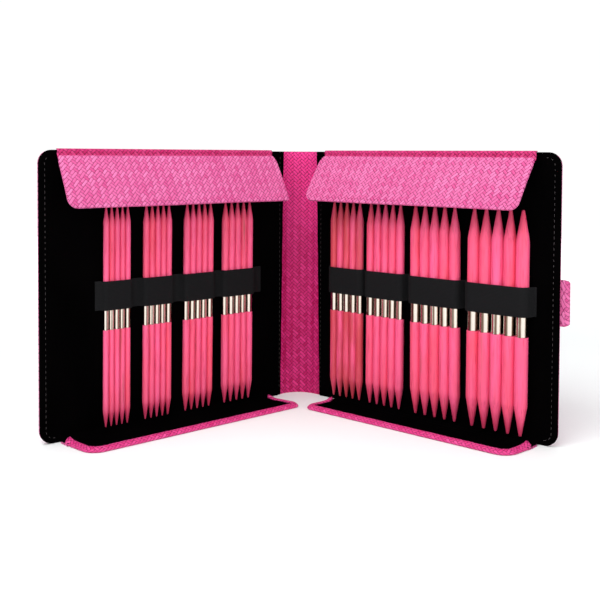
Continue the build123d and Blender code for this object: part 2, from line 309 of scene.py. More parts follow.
def rounded_outline(corners, steps=6):
    """Outline through corners (x, y, radius), each rounded by its own radius."""
    points = []
    for k, (x, y, radius) in enumerate(corners):
        here = Vector((x, y))
        back = (Vector(corners[k - 1][:2]) - here).normalized()
        ahead = (Vector(corners[(k + 1) % len(corners)][:2]) - here).normalized()
        half = back.angle(ahead) / 2
        if radius < 0.05 or half > 1.55:
            points.append((x, y))
            continue
        centre = here + (back + ahead).normalized() * (radius / math.sin(half))
        first = here + back * (radius / math.tan(half)) - centre
        last = here + ahead * (radius / math.tan(half)) - centre
        start = math.atan2(first.y, first.x)
        sweep = (math.atan2(last.y, last.x) - start + math.pi) % (2 * math.pi) - math.pi
        for step in range(steps + 1):
            angle = start + sweep * step / steps
            points.append((centre.x + radius * math.cos(angle), centre.y + radius * math.sin(angle)))
    return points


def panel(name, outline, place, material, facing, thickness, round_edges, grid=6.0, shape=None,
          segments=3, hanging=False):
    """A flat outline in mm, cut into a grid, shaped, put in place by place(x, y, height) and thickened.

    hanging says that y runs downwards, so that the weave is turned to match the other pieces.
    """
    bm = bmesh.new()
    bm.faces.new([bm.verts.new((x, y, 0)) for x, y in outline])
    for axis in (0, 1):
        low = min(p[axis] for p in outline)
        high = max(p[axis] for p in outline)
        cuts = max(2, round((high - low) / grid))
        for k in range(1, cuts):
            at = Vector((0, 0, 0))
            normal = Vector((0, 0, 0))
            at[axis] = low + (high - low) * k / cuts
            normal[axis] = 1
            everything = bm.verts[:] + bm.edges[:] + bm.faces[:]
            bmesh.ops.bisect_plane(bm, geom=everything, plane_co=at, plane_no=normal, dist=0.05)
    bmesh.ops.recalc_face_normals(bm, faces=bm.faces[:])
    layer = bm.loops.layers.uv.new("UVMap")
    for face in bm.faces:
        if face.normal.z < 0:
            face.normal_flip()
        for loop in face.loops:
            loop[layer].uv = (loop.vert.co.x * MM, loop.vert.co.y * (-MM if hanging else MM))
    for vert in bm.verts:
        x, y, _ = vert.co
        vert.co = place(x, y, shape(x, y) if shape else 0.0)
    made = from_bmesh(name, bm, material)
    face_towards(made, facing)
    thicken(made, thickness, round_edges=round_edges, segments=segments)
    return made


def face_towards(thing, direction):
    """Turn a sheet's faces over if most of them look away from the direction."""
    total = sum((p.normal * p.area for p in thing.data.polygons), Vector())
    if total.dot(direction) < 0:
        thing.data.flip_normals()


def lathe(bm, profile, centre, spokes, layer, tag):
    """Turn a profile of (radius, z) in metres round a vertical line, and mark it with a number of its own."""
    rings = []
    for radius, z in profile:
        if radius < 1e-7:
            rings.append([bm.verts.new(centre + UP * z)])
            continue
        ring = []
        for k in range(spokes):
            angle = 2 * math.pi * k / spokes
            ring.append(bm.verts.new(centre + Vector((radius * math.cos(angle), radius * math.sin(angle), z))))
        rings.append(ring)
    for lower, upper in zip(rings, rings[1:]):
        for k in range(spokes):
            places = (lower, k), (lower, k + 1), (upper, k + 1), (upper, k)
            # A ring of one point gives it twice, so that the face is a triangle
            bm.faces.new(dict.fromkeys(ring[place % len(ring)] for ring, place in places))
    for ring in rings:
        for vert in ring:
            vert[layer] = tag


def arc(cx, cy, radius, start, end, steps):
    """Points on an arc, angles in degrees."""
    points = []
    for k in range(steps + 1):
        angle = math.radians(start + (end - start) * k / steps)
        points.append((cx + radius * math.cos(angle), cy + radius * math.sin(angle)))
    return points


def smooth_path(points, steps=6):
    """A Catmull-Rom curve through points of any dimension."""
    points = [tuple(p) for p in points]
    ends = [points[0]] + points + [points[-1]]
    path = []
    for a, b, c, d in zip(ends, ends[1:], ends[2:], ends[3:]):
        for k in range(steps):
            t = k / steps
            path.append(tuple(
                0.5 * (2 * q + (r - p) * t + (2 * p - 5 * q + 4 * r - s) * t * t + (3 * q - p - 3 * r + s) * t**3)
                for p, q, r, s in zip(a, b, c, d)
            ))
    path.append(points[-1])
    return path


def spread(low, high, count):
    return [low + (high - low) * k / count for k in range(count + 1)]


# ---------------------------------------------------------------- materials


def material(name, **settings):
    """A new material and its nodes, with constants set on the shader's own sockets."""
    made = bpy.data.materials.new(name)
    made.use_nodes = True
    shader = made.node_tree.nodes["Principled BSDF"]
    for socket, value in settings.items():
        shader.inputs[socket.replace("_", " ")].default_value = value
    return made, Nodes(made.node_tree, shader)


class Nodes:
    """Short ways to add nodes to one tree."""

    def __init__(self, tree, shader=None):
        self.tree, self.shader = tree, shader

    def add(self, kind, **properties):
        node = self.tree.nodes.new(kind)
        for key, value in properties.items():
            setattr(node, key, value)
        return node

    def feed(self, socket, value):
        """Link a socket to another, or set it to a number or an (r, g, b) colour."""
        if isinstance(value, bpy.types.NodeSocket):
            self.tree.links.new(value, socket)
        elif isinstance(value, tuple):
            socket.default_value = (*value, 1)
        else:
            socket.default_value = value

    def math(self, operation, a, b=0.0, c=0.0, clamp=False):
        node = self.add("ShaderNodeMath", operation=operation, use_clamp=clamp)
        for socket, value in zip(node.inputs, (a, b, c)):
            self.feed(socket, value)
        return node.outputs[0]

    def plus(self, a, b, clamp=False):
        return self.math("ADD", a, b, clamp=clamp)

    def minus(self, a, b):
        return self.math("SUBTRACT", a, b)

    def times(self, a, b):
        return self.math("MULTIPLY", a, b)

    def split(self, vector):
        """The x, y and z of a vector."""
        node = self.add("ShaderNodeSeparateXYZ")
        self.feed(node.inputs[0], vector)
        return node.outputs[0], node.outputs[1], node.outputs[2]

    def mix(self, share, a, b):
        node = self.add("ShaderNodeMix", data_type="RGBA")
        self.feed(node.inputs[0], share)
        self.feed(node.inputs[6], a)
        self.feed(node.inputs[7], b)
        return node.outputs[2]

    def choose(self, share, a, b):
        node = self.add("ShaderNodeMix", data_type="FLOAT")
        self.feed(node.inputs[0], share)
        self.feed(node.inputs[2], a)
        self.feed(node.inputs[3], b)
        return node.outputs[0]

    def noise(self, vector, scale, detail=2.0, roughness=0.5):
        node = self.add("ShaderNodeTexNoise")
        self.feed(node.inputs["Vector"], vector)
        node.inputs["Scale"].default_value = scale
        node.inputs["Detail"].default_value = detail
        node.inputs["Roughness"].default_value = roughness
        return node.outputs[0]

    def ramp(self, value, low, high):
        node = self.add("ShaderNodeMapRange", interpolation_type="SMOOTHSTEP")
        self.feed(node.inputs[0], value)
        node.inputs[1].default_value = low
        node.inputs[2].default_value = high
        return node.outputs[0]

    def shade(self, **inputs):
        """Feed the shader's sockets."""
        for socket, value in inputs.items():
            self.feed(self.shader.inputs[socket.replace("_", " ")], value)

    def bump(self, height, distance, strength=1.0):
        node = self.add("ShaderNodeBump")
        node.inputs["Strength"].default_value = strength
        node.inputs["Distance"].default_value = distance
        self.feed(node.inputs["Height"], height)
        self.shade(Normal=node.outputs[0])

    def uv(self):
        return self.add("ShaderNodeUVMap", uv_map="UVMap").outputs[0]

    def place(self):
        return self.add("ShaderNodeTexCoord").outputs["Object"]

    def needle_number(self):
        return self.add("ShaderNodeAttribute", attribute_name="needle", attribute_type="GEOMETRY").outputs["Fac"]

    def scaled(self, vector, factors):
        node = self.add("ShaderNodeVectorMath", operation="MULTIPLY")
        self.feed(node.inputs[0], vector)
        node.inputs[1].default_value = factors
        return node.outputs[0]


def braid(nodes, width):
    """Height, chance number and direction of each float of an embossed twill of strips lying at 45 degrees.

    Strips of one family float over two or three of the other, by turns.
    """
    uv = nodes.uv()
    wander = nodes.noise(uv, 160.0)
    offset = nodes.times(nodes.minus(wander, 0.5), 0.0006)
    u, v, _ = nodes.split(uv)
    x = nodes.plus(u, offset)
    y = nodes.minus(v, offset)
    scale = 1 / (math.sqrt(2) * width)
    a = nodes.times(nodes.minus(x, y), scale)
    b = nodes.times(nodes.plus(x, y), scale)
    i, j = nodes.math("FLOOR", a), nodes.math("FLOOR", b)
    fa, fb = nodes.math("FRACT", a), nodes.math("FRACT", b)
    odd_i, odd_j = nodes.math("FLOORED_MODULO", i, 2.0), nodes.math("FLOORED_MODULO", j, 2.0)
    total = nodes.plus(i, j)
    phase = nodes.math("FLOORED_MODULO", total, 4.0)
    float_a = nodes.plus(odd_i, 2.0)
    over = nodes.math("LESS_THAN", phase, nodes.minus(float_a, 0.5))
    along_over = nodes.math("DIVIDE", nodes.plus(phase, fb), float_a)
    behind = nodes.minus(nodes.minus(phase, 2.0), odd_j)
    along_under = nodes.math("DIVIDE", nodes.plus(behind, fa), nodes.minus(2.0, odd_j))
    along = nodes.choose(over, along_under, along_over)
    across = nodes.choose(over, fb, fa)

    def dome(value, power):
        centred = nodes.math("ABSOLUTE", nodes.math("MULTIPLY_ADD", value, 2.0, -1.0))
        return nodes.minus(1.0, nodes.math("POWER", centred, power))

    height = nodes.times(dome(across, 3.0), dome(along, 7.0))
    number = nodes.add("ShaderNodeCombineXYZ")
    nodes.feed(number.inputs[0], nodes.choose(over, j, i))
    nodes.feed(number.inputs[1], nodes.math("FLOOR", nodes.math("DIVIDE", total, 4.0)))
    nodes.feed(number.inputs[2], over)
    chance = nodes.add("ShaderNodeTexWhiteNoise", noise_dimensions="3D")
    nodes.feed(chance.inputs[0], number.outputs[0])
    return height, chance.outputs[0], over


def leatherette(name, face, groove_shade, light, head=None):
    """Embossed braid in satin leatherette. head is the face's colour high up, a painted light: the face turns lighter
    towards the top, where the overhead light falls.
    """
    made, nodes = material(name, Roughness=0.45, Specular_IOR_Level=0.18)
    height, chance, over = braid(nodes, WEAVE_WIDTH)
    raised = nodes.ramp(height, 0.12, 0.55)
    patch = nodes.noise(nodes.uv(), 22.0, 3.0)
    # Each float's and patch's random tone, plus painted light: the floats of one direction are made lighter, as if
    # they caught more light
    tone_and_painted_light = nodes.math("MULTIPLY_ADD", chance, 0.5, nodes.times(over, 0.3))
    tone_and_painted_light = nodes.plus(tone_and_painted_light, nodes.times(nodes.minus(patch, 0.5), 0.6), clamp=True)
    # Painted light: the face grows lighter towards the top
    if head:
        face = nodes.mix(nodes.ramp(nodes.split(nodes.place())[2], 0.09, 0.19), face, head)
    top = nodes.mix(tone_and_painted_light, face, light)
    # Painted shade: the grooves between the floats take the darker groove colour, where shade falls in the emboss
    nodes.shade(Base_Color=nodes.mix(raised, groove_shade, top))
    rough = nodes.math("MULTIPLY_ADD", nodes.noise(nodes.uv(), 900.0), 0.2, 0.38)
    nodes.shade(Roughness=nodes.minus(rough, nodes.times(raised, 0.06)))
    grain = nodes.times(nodes.noise(nodes.uv(), 2600.0, 3.0), 0.08)
    nodes.bump(nodes.plus(height, grain), 0.0003, 0.9)
    return made


def suede():
    made, nodes = material("black_suede", Roughness=1.0, Specular_IOR_Level=0.0)
    nap = nodes.noise(nodes.place(), 1400.0, 3.0, 0.65)
    brushed = nodes.noise(nodes.scaled(nodes.place(), (1.0, 1.0, 0.4)), 35.0, 2.0)
    share = nodes.math("MULTIPLY_ADD", nodes.minus(brushed, 0.5), 0.9, nap, clamp=True)
    colour = nodes.mix(share, (0.0002, 0.0002, 0.0002), (0.0016, 0.0013, 0.0015))
    nodes.shade(Base_Color=colour)
    nodes.bump(nap, 0.00012, 0.6)
    return made


def elastic():
    made, nodes = material("black_elastic", Roughness=0.9, Specular_IOR_Level=0.08)
    u, v, _ = nodes.split(nodes.uv())
    rib, pick = 0.0009, 0.0007  # metres from one to the next
    ribs = nodes.math("SINE", nodes.times(v, 2 * math.pi / rib))
    picks = nodes.math("SINE", nodes.times(u, 2 * math.pi / pick))
    weave = nodes.math("MULTIPLY_ADD", ribs, 0.5, nodes.times(picks, 0.25))
    fuzz = nodes.noise(nodes.uv(), 1800.0, 2.0)
    share = nodes.math("MULTIPLY_ADD", weave, 0.35, fuzz, clamp=True)
    nodes.shade(Base_Color=nodes.mix(share, (0.0045, 0.0045, 0.005), (0.013, 0.013, 0.014)))
    nodes.bump(weave, 0.00012, 0.7)
    return made


def dyed_wood():
    """Laminated birch, dyed through, with each needle a little different."""
    made, nodes = material("dyed_birch", Roughness=0.36, Specular_IOR_Level=0.4)
    number = nodes.needle_number()
    place = nodes.place()
    shifted = nodes.add("ShaderNodeCombineXYZ")
    nodes.feed(shifted.inputs[0], nodes.times(number, 7.3))
    nodes.feed(shifted.inputs[2], nodes.times(number, 3.1))
    moved = nodes.add("ShaderNodeVectorMath", operation="ADD")
    nodes.feed(moved.inputs[0], place)
    nodes.feed(moved.inputs[1], shifted.outputs[0])

    def grain(lengthways, scale, detail, roughness=0.5):
        """Noise stretched along the needle, which lengthways makes longer the smaller it is."""
        return nodes.noise(nodes.scaled(moved.outputs[0], (1.0, 1.0, lengthways)), scale, detail, roughness)

    streaks = grain(0.05, 900.0, 3.0, 0.6)
    flame = grain(0.16, 110.0, 3.0, 0.55)
    pores = grain(0.12, 4200.0, 2.0)
    pink, coral, deep_dye_and_shade = (0.93, 0.115, 0.29), (0.88, 0.075, 0.14), (0.50, 0.014, 0.07)
    olive, brown = (0.33, 0.07, 0.05), (0.52, 0.045, 0.055)
    own = nodes.math("FRACT", nodes.times(number, GOLDEN))
    share = nodes.plus(own, nodes.ramp(flame, 0.35, 0.75))
    base = nodes.mix(nodes.times(share, 0.5), pink, coral)
    base = nodes.mix(nodes.times(nodes.ramp(streaks, 0.48, 0.75), 0.5), base, deep_dye_and_shade)
    base = nodes.mix(nodes.times(nodes.ramp(grain(0.07, 240.0, 2.0), 0.64, 0.78), 0.55), base, olive)
    # Darker towards both points: deeper dye in the tapers' end grain, and painted shade standing in for the top flap's
    # shadow on the upper points
    from_middle = nodes.math("ABSOLUTE", nodes.minus(nodes.split(place)[2], NEEDLE_MIDDLE * MM))
    taper_dye_and_shade = nodes.ramp(from_middle, 0.059, 0.073)
    base = nodes.mix(nodes.times(taper_dye_and_shade, 0.6), base, deep_dye_and_shade)
    # The right cover's first group is stained
    whole = nodes.math("FLOORED_MODULO", number, LOWER_POINT)
    from_group = nodes.math("ABSOLUTE", nodes.minus(whole, FIRST_RIGHT + EACH // 2))
    in_group = nodes.math("LESS_THAN", from_group, EACH / 2 + 0.1)
    stained = nodes.times(in_group, nodes.ramp(flame, 0.3, 0.6))
    base = nodes.mix(nodes.times(stained, 0.75), base, brown)
    nodes.shade(Base_Color=base)
    nodes.shade(Roughness=nodes.math("MULTIPLY_ADD", pores, 0.22, 0.3))
    nodes.bump(nodes.plus(nodes.times(pores, 0.5), streaks), 0.00003, 0.5)
    return made


def polished_metal():
    """Polished sleeves, each with painted reflections: dark bands round it, set by which way its surface faces, at
    places of its own.
    """
    made, nodes = material("polished_sleeve", Metallic=1.0, Roughness=0.16)
    place = nodes.place()
    number = nodes.needle_number()
    facing, _, _ = nodes.split(nodes.add("ShaderNodeNewGeometry").outputs["Normal"])
    turn = nodes.math("MULTIPLY_ADD", nodes.math("FRACT", nodes.times(number, GOLDEN)), 2.2, 0.6)
    # Painted reflection: dark bands by which way the surface faces, standing in for dark surroundings mirrored in the
    # metal
    painted_reflection_bands = nodes.math("SINE", nodes.math("MULTIPLY_ADD", facing, 6.0, turn))
    rings = nodes.noise(nodes.scaled(place, (0.05, 0.05, 1.0)), 6000.0, 2.0)
    smear = nodes.noise(place, 160.0, 3.0)
    painted_reflection = nodes.ramp(nodes.math("MULTIPLY_ADD", smear, 0.5, painted_reflection_bands), -0.75, 0.45)
    nodes.shade(Base_Color=nodes.mix(painted_reflection, (0.15, 0.095, 0.065), (0.70, 0.615, 0.545)))
    nodes.shade(Roughness=nodes.math("MULTIPLY_ADD", smear, 0.14, 0.08))
    nodes.bump(rings, 0.00001, 0.25)
    return made


def thread(name, colour, dark):
    made, nodes = material(name, Roughness=0.7, Sheen_Weight=0.1)
    twist = nodes.noise(nodes.place(), 2500.0, 2.0)
    nodes.shade(Base_Color=nodes.mix(twist, colour, dark))
    nodes.bump(twist, 0.0001, 0.6)
    return made


def board():
    made, nodes = material("board_core", Roughness=0.85)
    pulp = nodes.noise(nodes.place(), 700.0, 4.0, 0.6)
    nodes.shade(Base_Color=nodes.mix(pulp, (0.34, 0.31, 0.27), (0.52, 0.48, 0.43)))
    nodes.bump(pulp, 0.0001, 0.4)
    return made


def magnet_steel():
    made, nodes = material("magnet_steel", Metallic=1.0, Roughness=0.3)
    scratches = nodes.noise(nodes.place(), 900.0, 4.0, 0.6)
    nodes.shade(Roughness=nodes.math("MULTIPLY_ADD", scratches, 0.25, 0.2))
    nodes.shade(Base_Color=nodes.mix(scratches, (0.6, 0.6, 0.62), (0.48, 0.48, 0.5)))
    return made


# The braid's colours: its face, the painted shade in the grooves between floats, and its lightest floats, lighter
# partly at random and partly by painted light. The later copies of this one leatherette are darker or deeper: painted
# shade for where less light falls
PINK = leatherette("pink_leatherette", (0.61, 0.072, 0.250), (0.21, 0.011, 0.080), (0.79, 0.21, 0.45))
# A darker copy of the pink leatherette for the roof and the crease roll above the top flaps: painted shade
PAINTED_SHADE_CREASE = leatherette("pink_leatherette_rolled", (0.50, 0.012, 0.12), (0.14, 0.002, 0.035), (0.68, 0.06, 0.23))
# A deeper, less whitish copy of the pink leatherette for the bottom flaps' rims, whose faces catch less of the
# overhead light: painted shade
PAINTED_SHADE_RIM = leatherette("pink_leatherette_rim", (0.63, 0.022, 0.175), (0.22, 0.005, 0.055), (0.82, 0.10, 0.34))
# A darker copy of the pink leatherette for the spine's inside: painted shade of the recess between the covers, turning
# lighter towards the top (head) by painted light
PAINTED_SHADE_SPINE = leatherette("pink_leatherette_inside", (0.48, 0.003, 0.098), (0.17, 0.001, 0.033), (0.80, 0.045, 0.27),
                   head=(0.82, 0.035, 0.24))
SUEDE = suede()
ELASTIC = elastic()
WOOD = dyed_wood()
METAL = polished_metal()
GREY_THREAD = thread("grey_thread", (0.075, 0.062, 0.064), (0.03, 0.022, 0.025))
PINK_THREAD = thread("pink_thread", (0.42, 0.02, 0.12), (0.22, 0.008, 0.06))
BOARD = board()
STEEL = magnet_steel()
SLOTS = {SUEDE: "black_suede", ELASTIC: "black_elastic", WOOD: "dyed_birch", METAL: "polished_sleeve"}

for node_name, thing in frame["nodes"].items():
    inner = STEEL if "magnet" in node_name else BOARD
    thing.data.materials.clear()
    thing.data.materials.append(inner)


def tell(piece, replaced):
    """Say which of the model's nodes a piece replaces, and its slot, pink leatherette unless in SLOTS."""
    if replaced:
        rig.replaces(piece, *replaced)
    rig.slot(piece, SLOTS.get(piece.data.materials[0], "pink_leatherette"))


def ride(piece, body, *replaced):
    tell(piece, replaced)
    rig.ride(piece, body)


def bend(piece, bodies, start, end, *replaced):
    tell(piece, replaced)
    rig.blend(piece, *bodies, start, end)


# ---------------------------------------------------------------- stitching


def stitches(name, path, normal, material_used, length, gap, radius, lift):
    """A row of stitches in mm along a path of world points, each a short rounded thread on the surface."""
    bm = bmesh.new()
    distance = distances(path)

    def on_path(s):
        s = min(max(s, 0.0), distance[-1])
        for k in range(len(path) - 1):
            if s <= distance[k + 1]:
                span = distance[k + 1] - distance[k]
                t = (s - distance[k]) / span if span else 0.0
                return path[k].lerp(path[k + 1], t)
        return path[-1]

    pitch = (length + gap) * MM
    count = int(distance[-1] / pitch)
    spokes, sections = 6, 6
    for index in range(count):
        start = index * pitch + 0.5 * gap * MM
        end = start + length * MM * random.uniform(0.93, 1.0)
        rings = []
        for k in range(sections + 1):
            t = k / sections
            centre = on_path(start + (end - start) * t)
            bulge = math.sin(math.pi * min(max(t, 0.02), 0.98)) ** 0.5
            ahead = (on_path(end) - on_path(start)).normalized()
            side = ahead.cross(normal).normalized()
            centre = centre + normal * ((lift - radius * (1 - bulge) * 1.2) * MM)
            ring = []
            for m in range(spokes):
                angle = 2 * math.pi * m / spokes
                out = side * math.cos(angle) + normal * (math.sin(angle) * 0.7)
                ring.append(bm.verts.new(centre + out * (radius * MM * (0.35 + 0.65 * bulge))))
            rings.append(ring)
        for lower, upper in zip(rings, rings[1:]):
            for m in range(spokes):
                j = (m + 1) % spokes
                bm.faces.new((lower[m], upper[m], upper[j], lower[j]))
        bm.faces.new(rings[0])
        bm.faces.new(rings[-1][::-1])
    bmesh.ops.recalc_face_normals(bm, faces=bm.faces[:])
    return from_bmesh(name, bm, material_used)


# ---------------------------------------------------------------- covers


def cover_outline(inset, side):
    """A cover's outline in (side * u, z), rounded at the fore-edge."""
    near, far = COVER_START + inset, COVER_WIDTH - inset
    low, high, big = inset, COVER_HEIGHT - inset, COVER_CORNER - inset
    corners = [(near, low, 1.0), (far, low, big), (far, high, big), (near, high, 1.0)]
    return rounded_outline([(side * u, z, radius) for u, z, radius in corners])


def make_cover(cover):
    side, body = cover.side, f"{cover.name}_cover"
    leather_top = LEATHER_TOP[cover.name]

    leather = panel(
        f"{body}_leather", cover_outline(0.25, side), cover.sheet(BACK_FACE), PINK, -cover.n,
        thickness=leather_top - BACK_FACE, round_edges=0.3, grid=12.0)
    ride(leather, body, f"{body}_skin")

    def soft(x, y):
        return 0.06 * math.sin(x * 0.11 + 1.3) * math.sin(y * 0.09 + side)

    lining = panel(
        f"{body}_suede", cover_outline(0.0, side), cover.sheet(LINED_FACE), SUEDE, cover.n,
        thickness=LINED_FACE - leather_top + 0.1, round_edges=0.9, grid=5.0, shape=soft, segments=4)
    ride(lining, body, f"{body}_lining")

    inset = 3.7
    fore_edge, low, high = COVER_WIDTH - inset, inset, COVER_HEIGHT - inset
    bottom_end, top_end = BOTTOM_FLAP_ENDS[cover.name][0][1] + 1.5, TOP_FLAP_ENDS[cover.name][0][1] + 0.8
    seams = {
        "fore_edge": [(bottom_end, low, 0), (fore_edge, low, 5.3), (fore_edge, high, 5.3), (top_end, high, 0)],
        "hinge": [(HINGE_SEAM[cover.name], z, 0) for z in (6.0, 60.0, 120.0, COVER_HEIGHT - 2.0)],
    }
    for place, corners in seams.items():
        path = [cover.at(u, LINED_FACE, z) for u, z in rounded_outline(corners)]
        rows = stitches(f"{cover.name}_{place}_stitching", path, cover.n, GREY_THREAD,
                        length=2.1, gap=1.6, radius=0.14, lift=0.04)
        ride(rows, body)


# ---------------------------------------------------------------- spine


SPINE_HALF = RIGHT.origin.x / MM
SPINE_BOW = -RIGHT.origin.y / MM
SPINE_R = (SPINE_HALF**2 + SPINE_BOW**2) / (2 * SPINE_BOW)
SPINE_ANGLE = math.degrees(math.asin(SPINE_HALF / SPINE_R))
SHEET_END = 7.0  # degrees short of the hinge where a spine sheet leaves its arc


def hinge_place(cover, u, n):
    """(x, y) in mm of a place on a cover."""
    point = cover.at(u, n, 0)
    return point.x / MM, point.y / MM


def spine_path(cover, radius, cover_points):
    """From the spine's middle round to the cover, in (x, y) mm."""
    path = []
    for angle in spread(0.0, math.radians(SPINE_ANGLE - SHEET_END), 12):
        path.append((cover.side * radius * math.sin(angle), radius * math.cos(angle) - SPINE_R))
    return path[:-2] + smooth_path(path[-2:] + [hinge_place(cover, u, n) for u, n in cover_points], 5)


def spine_sheet(name, cover, rows, used, thickness, faces, *replaced):
    """One sheet across a hinge, bending between the spine and a cover."""
    sheet = strip(name, rows, used)
    for corner in sheet.data.uv_layers[0].data:
        corner.uv = (corner.uv.x * cover.side, corner.uv.y)  # the braid runs on across the spine's middle
    face_towards(sheet, Vector((0, faces, 0)))
    angle = math.radians(SPINE_ANGLE - SHEET_END)
    start = Vector((cover.side * SPINE_R * math.sin(angle), SPINE_R * math.cos(angle) - SPINE_R, 0)) * MM
    thicken(sheet, thickness, round_edges=0.25)
    bend(sheet, ("spine", f"{cover.name}_cover"), start, cover.at(3.0, 1.5, 0), *replaced)


def upright(path, heights):
    """Rows of world points: a path of (x, y) in mm, repeated at each height."""
    return [[Vector((x * MM, y * MM, z * MM)) for x, y in path] for z in heights]


def along_path(path, distance):
    """The place on a path of (x, y) at a distance from its start."""
    for (xa, ya), (xb, yb) in zip(path, path[1:]):
        span = math.hypot(xb - xa, yb - ya)
        if distance <= span:
            share = distance / span
            return xa + (xb - xa) * share, ya + (yb - ya) * share
        distance -= span
    return path[-1]


def make_spine():
    heights = spread(0.0, COVER_HEIGHT, 30)
    for cover in COVERS:
        back = [(0.2, -1.3), (2.2, -1.05), (5.0, -0.55), (7.0, -0.35)]
        outer = spine_path(cover, SPINE_R + 0.5, back)
        spine_sheet(f"spine_outer_{cover.name}", cover, upright(outer, heights), PINK, 0.9, 1, "spine_outer_skin")
        front = [(1.3, 1.6), (2.0, 2.3), (3.2, 2.6), (4.5, 2.6)]
        inner = spine_path(cover, SPINE_R - 2.1, front)
        # The spine's inside takes the darker copy of the pink leatherette: painted shade, lighter towards the top
        spine_sheet(f"spine_inner_{cover.name}", cover, upright(inner, heights), PAINTED_SHADE_SPINE, 0.7, -1, "spine_inner_skin")

        # The cover's suede runs on over the hinge, narrower towards the foot
        over = spine_path(cover, SPINE_R - 2.55, [(1.2, 2.2), (1.7, 2.9), (2.6, 3.25), (3.6, 3.3)])
        lengths = [math.hypot(xb - xa, yb - ya) for (xa, ya), (xb, yb) in zip(over, over[1:])]
        hinge_x = abs(hinge_place(cover, 0.8, 1.8)[0])
        to_hinge = sum(span for span, (x, _) in zip(lengths, over[1:]) if abs(x) < hinge_x)
        foot, head = HINGE_SUEDE[cover.name]
        rows = []
        for z in heights:
            width = foot + (head - foot) * z / COVER_HEIGHT + 0.12 * math.sin(z * 0.21)
            row = [along_path(over, distance) for distance in spread(to_hinge - width, sum(lengths), 12)]
            rows += upright(row, [z])
        spine_sheet(f"hinge_suede_{cover.name}", cover, rows, SUEDE, 0.35, -1)


# ---------------------------------------------------------------- flaps


def fold_strip(name, cover, path, ends, thickness, used, outward, bodies, span=None, replaced=(), slant=0.0):
    """A sheet that runs along a crease, from a path of (n, z).

    It bends between two bodies over a span of two (n, z), or rides the only one. slant is how much
    shorter its far end is at the lined face than at the path's highest n.
    """
    near, far = ends
    count = round((far - near) / 3.0)
    reach = max(n for n, _ in path)
    rows = []
    for n, z in path:
        cut = slant * (1 - max(n, 0.0) / reach)
        rows.append([cover.at(u, n, z) for u in spread(near, far - cut, count)])
    sheet = strip(name, rows, used)
    face_towards(sheet, outward)
    thicken(sheet, thickness, round_edges=0.25)
    if span:
        start, end = [cover.at((near + far) / 2, *place) for place in span]
        bend(sheet, bodies, start, end, *replaced)
    else:
        ride(sheet, *bodies, *replaced)


class FlapFrame:
    """A flap's own frame: s down from its crease, o out of its leatherette, both in mm."""

    def __init__(self, cover, end):
        self.cover = cover
        self.name = f"{cover.name}_{end}_flap"
        if end == "top":
            self.n0, self.z0 = cover.top_crease
            lean = math.radians(TOP_FLAP_LEAN)
            self.down = (math.sin(lean), -math.cos(lean))
            self.out = (math.cos(lean), math.sin(lean))
            self.length = TOP_FLAP_LENGTH
            self.crease, self.free = TOP_FLAP_ENDS[cover.name]
        else:
            self.n0, self.z0 = cover.bottom_crease
            self.down, self.out = (1.0, 0.0), (0.0, -1.0)
            self.length = BOTTOM_FLAP_FRONT - self.n0
            self.crease, self.free = BOTTOM_FLAP_ENDS[cover.name]

    def section(self, s, o):
        """(n, z) of a place in the flap's cross-section."""
        return self.n0 + s * self.down[0] + o * self.out[0], self.z0 + s * self.down[1] + o * self.out[1]

    def at(self, u, s, o):
        n, z = self.section(s, o)
        return self.cover.at(u, n, z)

    def sheet(self, o):
        """Where a panel's (x, y, height) lie, with its face at o."""
        return lambda x, y, height: self.at(self.cover.side * x, y, o + height)

    def outward(self):
        return self.cover.n * self.out[0] + UP * self.out[1]

    def ends(self, s):
        """u of the straight near and far ends, s below the crease."""
        share = s / self.length
        return [a + (b - a) * share for a, b in zip(self.crease, self.free)]


def make_top_flap(flap):
    side, name = flap.cover.side, flap.name
    near_corner, far_corner = FREE_CORNERS[flap.cover.name]
    shoulder = 9.0  # how far down the ends turn from the crease's width to the plate's

    def border(inset, start):
        near, far = flap.ends(shoulder)
        corners = [
            (flap.crease[0] + 0.3 + inset, start, 1.2), (near - 1.3 + inset, shoulder, 9.0),
            (flap.free[0] + inset, flap.length - inset, max(near_corner - inset, 0.8)),
            (flap.free[1] - inset, flap.length - inset, max(far_corner - inset, 0.8)),
            (far + 0.3 - inset, shoulder, 9.0), (flap.crease[1] - 0.3 - inset, start, 1.2),
        ]
        return rounded_outline([(side * u, s, radius) for u, s, radius in corners])

    def rise(x, y):
        """A soft plate: fullest along its middle, with a slight wave at its free edge."""
        across = min(max((y - GROOVE_END) / (flap.length - GROOVE_END), 0.0), 1.0)
        return 0.4 * math.sin(math.pi * across) + 0.25 * math.sin(x * 0.055 + side) * across**2

    leather = panel(
        f"{name}_leather", border(0.0, GROOVE_END), flap.sheet(FLAP_OUTER), PINK, flap.outward(),
        thickness=FLAP_OUTER - FLAP_INNER - 0.1, round_edges=0.95, grid=4.0, shape=rise, segments=4, hanging=True)
    ride(leather, flap.name, f"{name}_skin", f"{name}_board")

    lining = panel(
        f"{name}_suede", border(3.6, GROOVE_END + 0.4), flap.sheet(FLAP_INNER), SUEDE, -flap.outward(),
        thickness=0.5, round_edges=0.2, grid=5.0, shape=rise)
    ride(lining, flap.name, f"{name}_lining")

    seam = [(x, y) for x, y in border(2.8, GROOVE_END) if y > GROOVE_END + 2.0]
    ring = [flap.at(side * x, y, FLAP_OUTER + rise(x, y)) for x, y in seam]
    rows = stitches(f"{name}_stitching", ring, flap.outward(), PINK_THREAD,
                    length=1.6, gap=1.7, radius=0.2, lift=-0.06)
    ride(rows, flap.name)


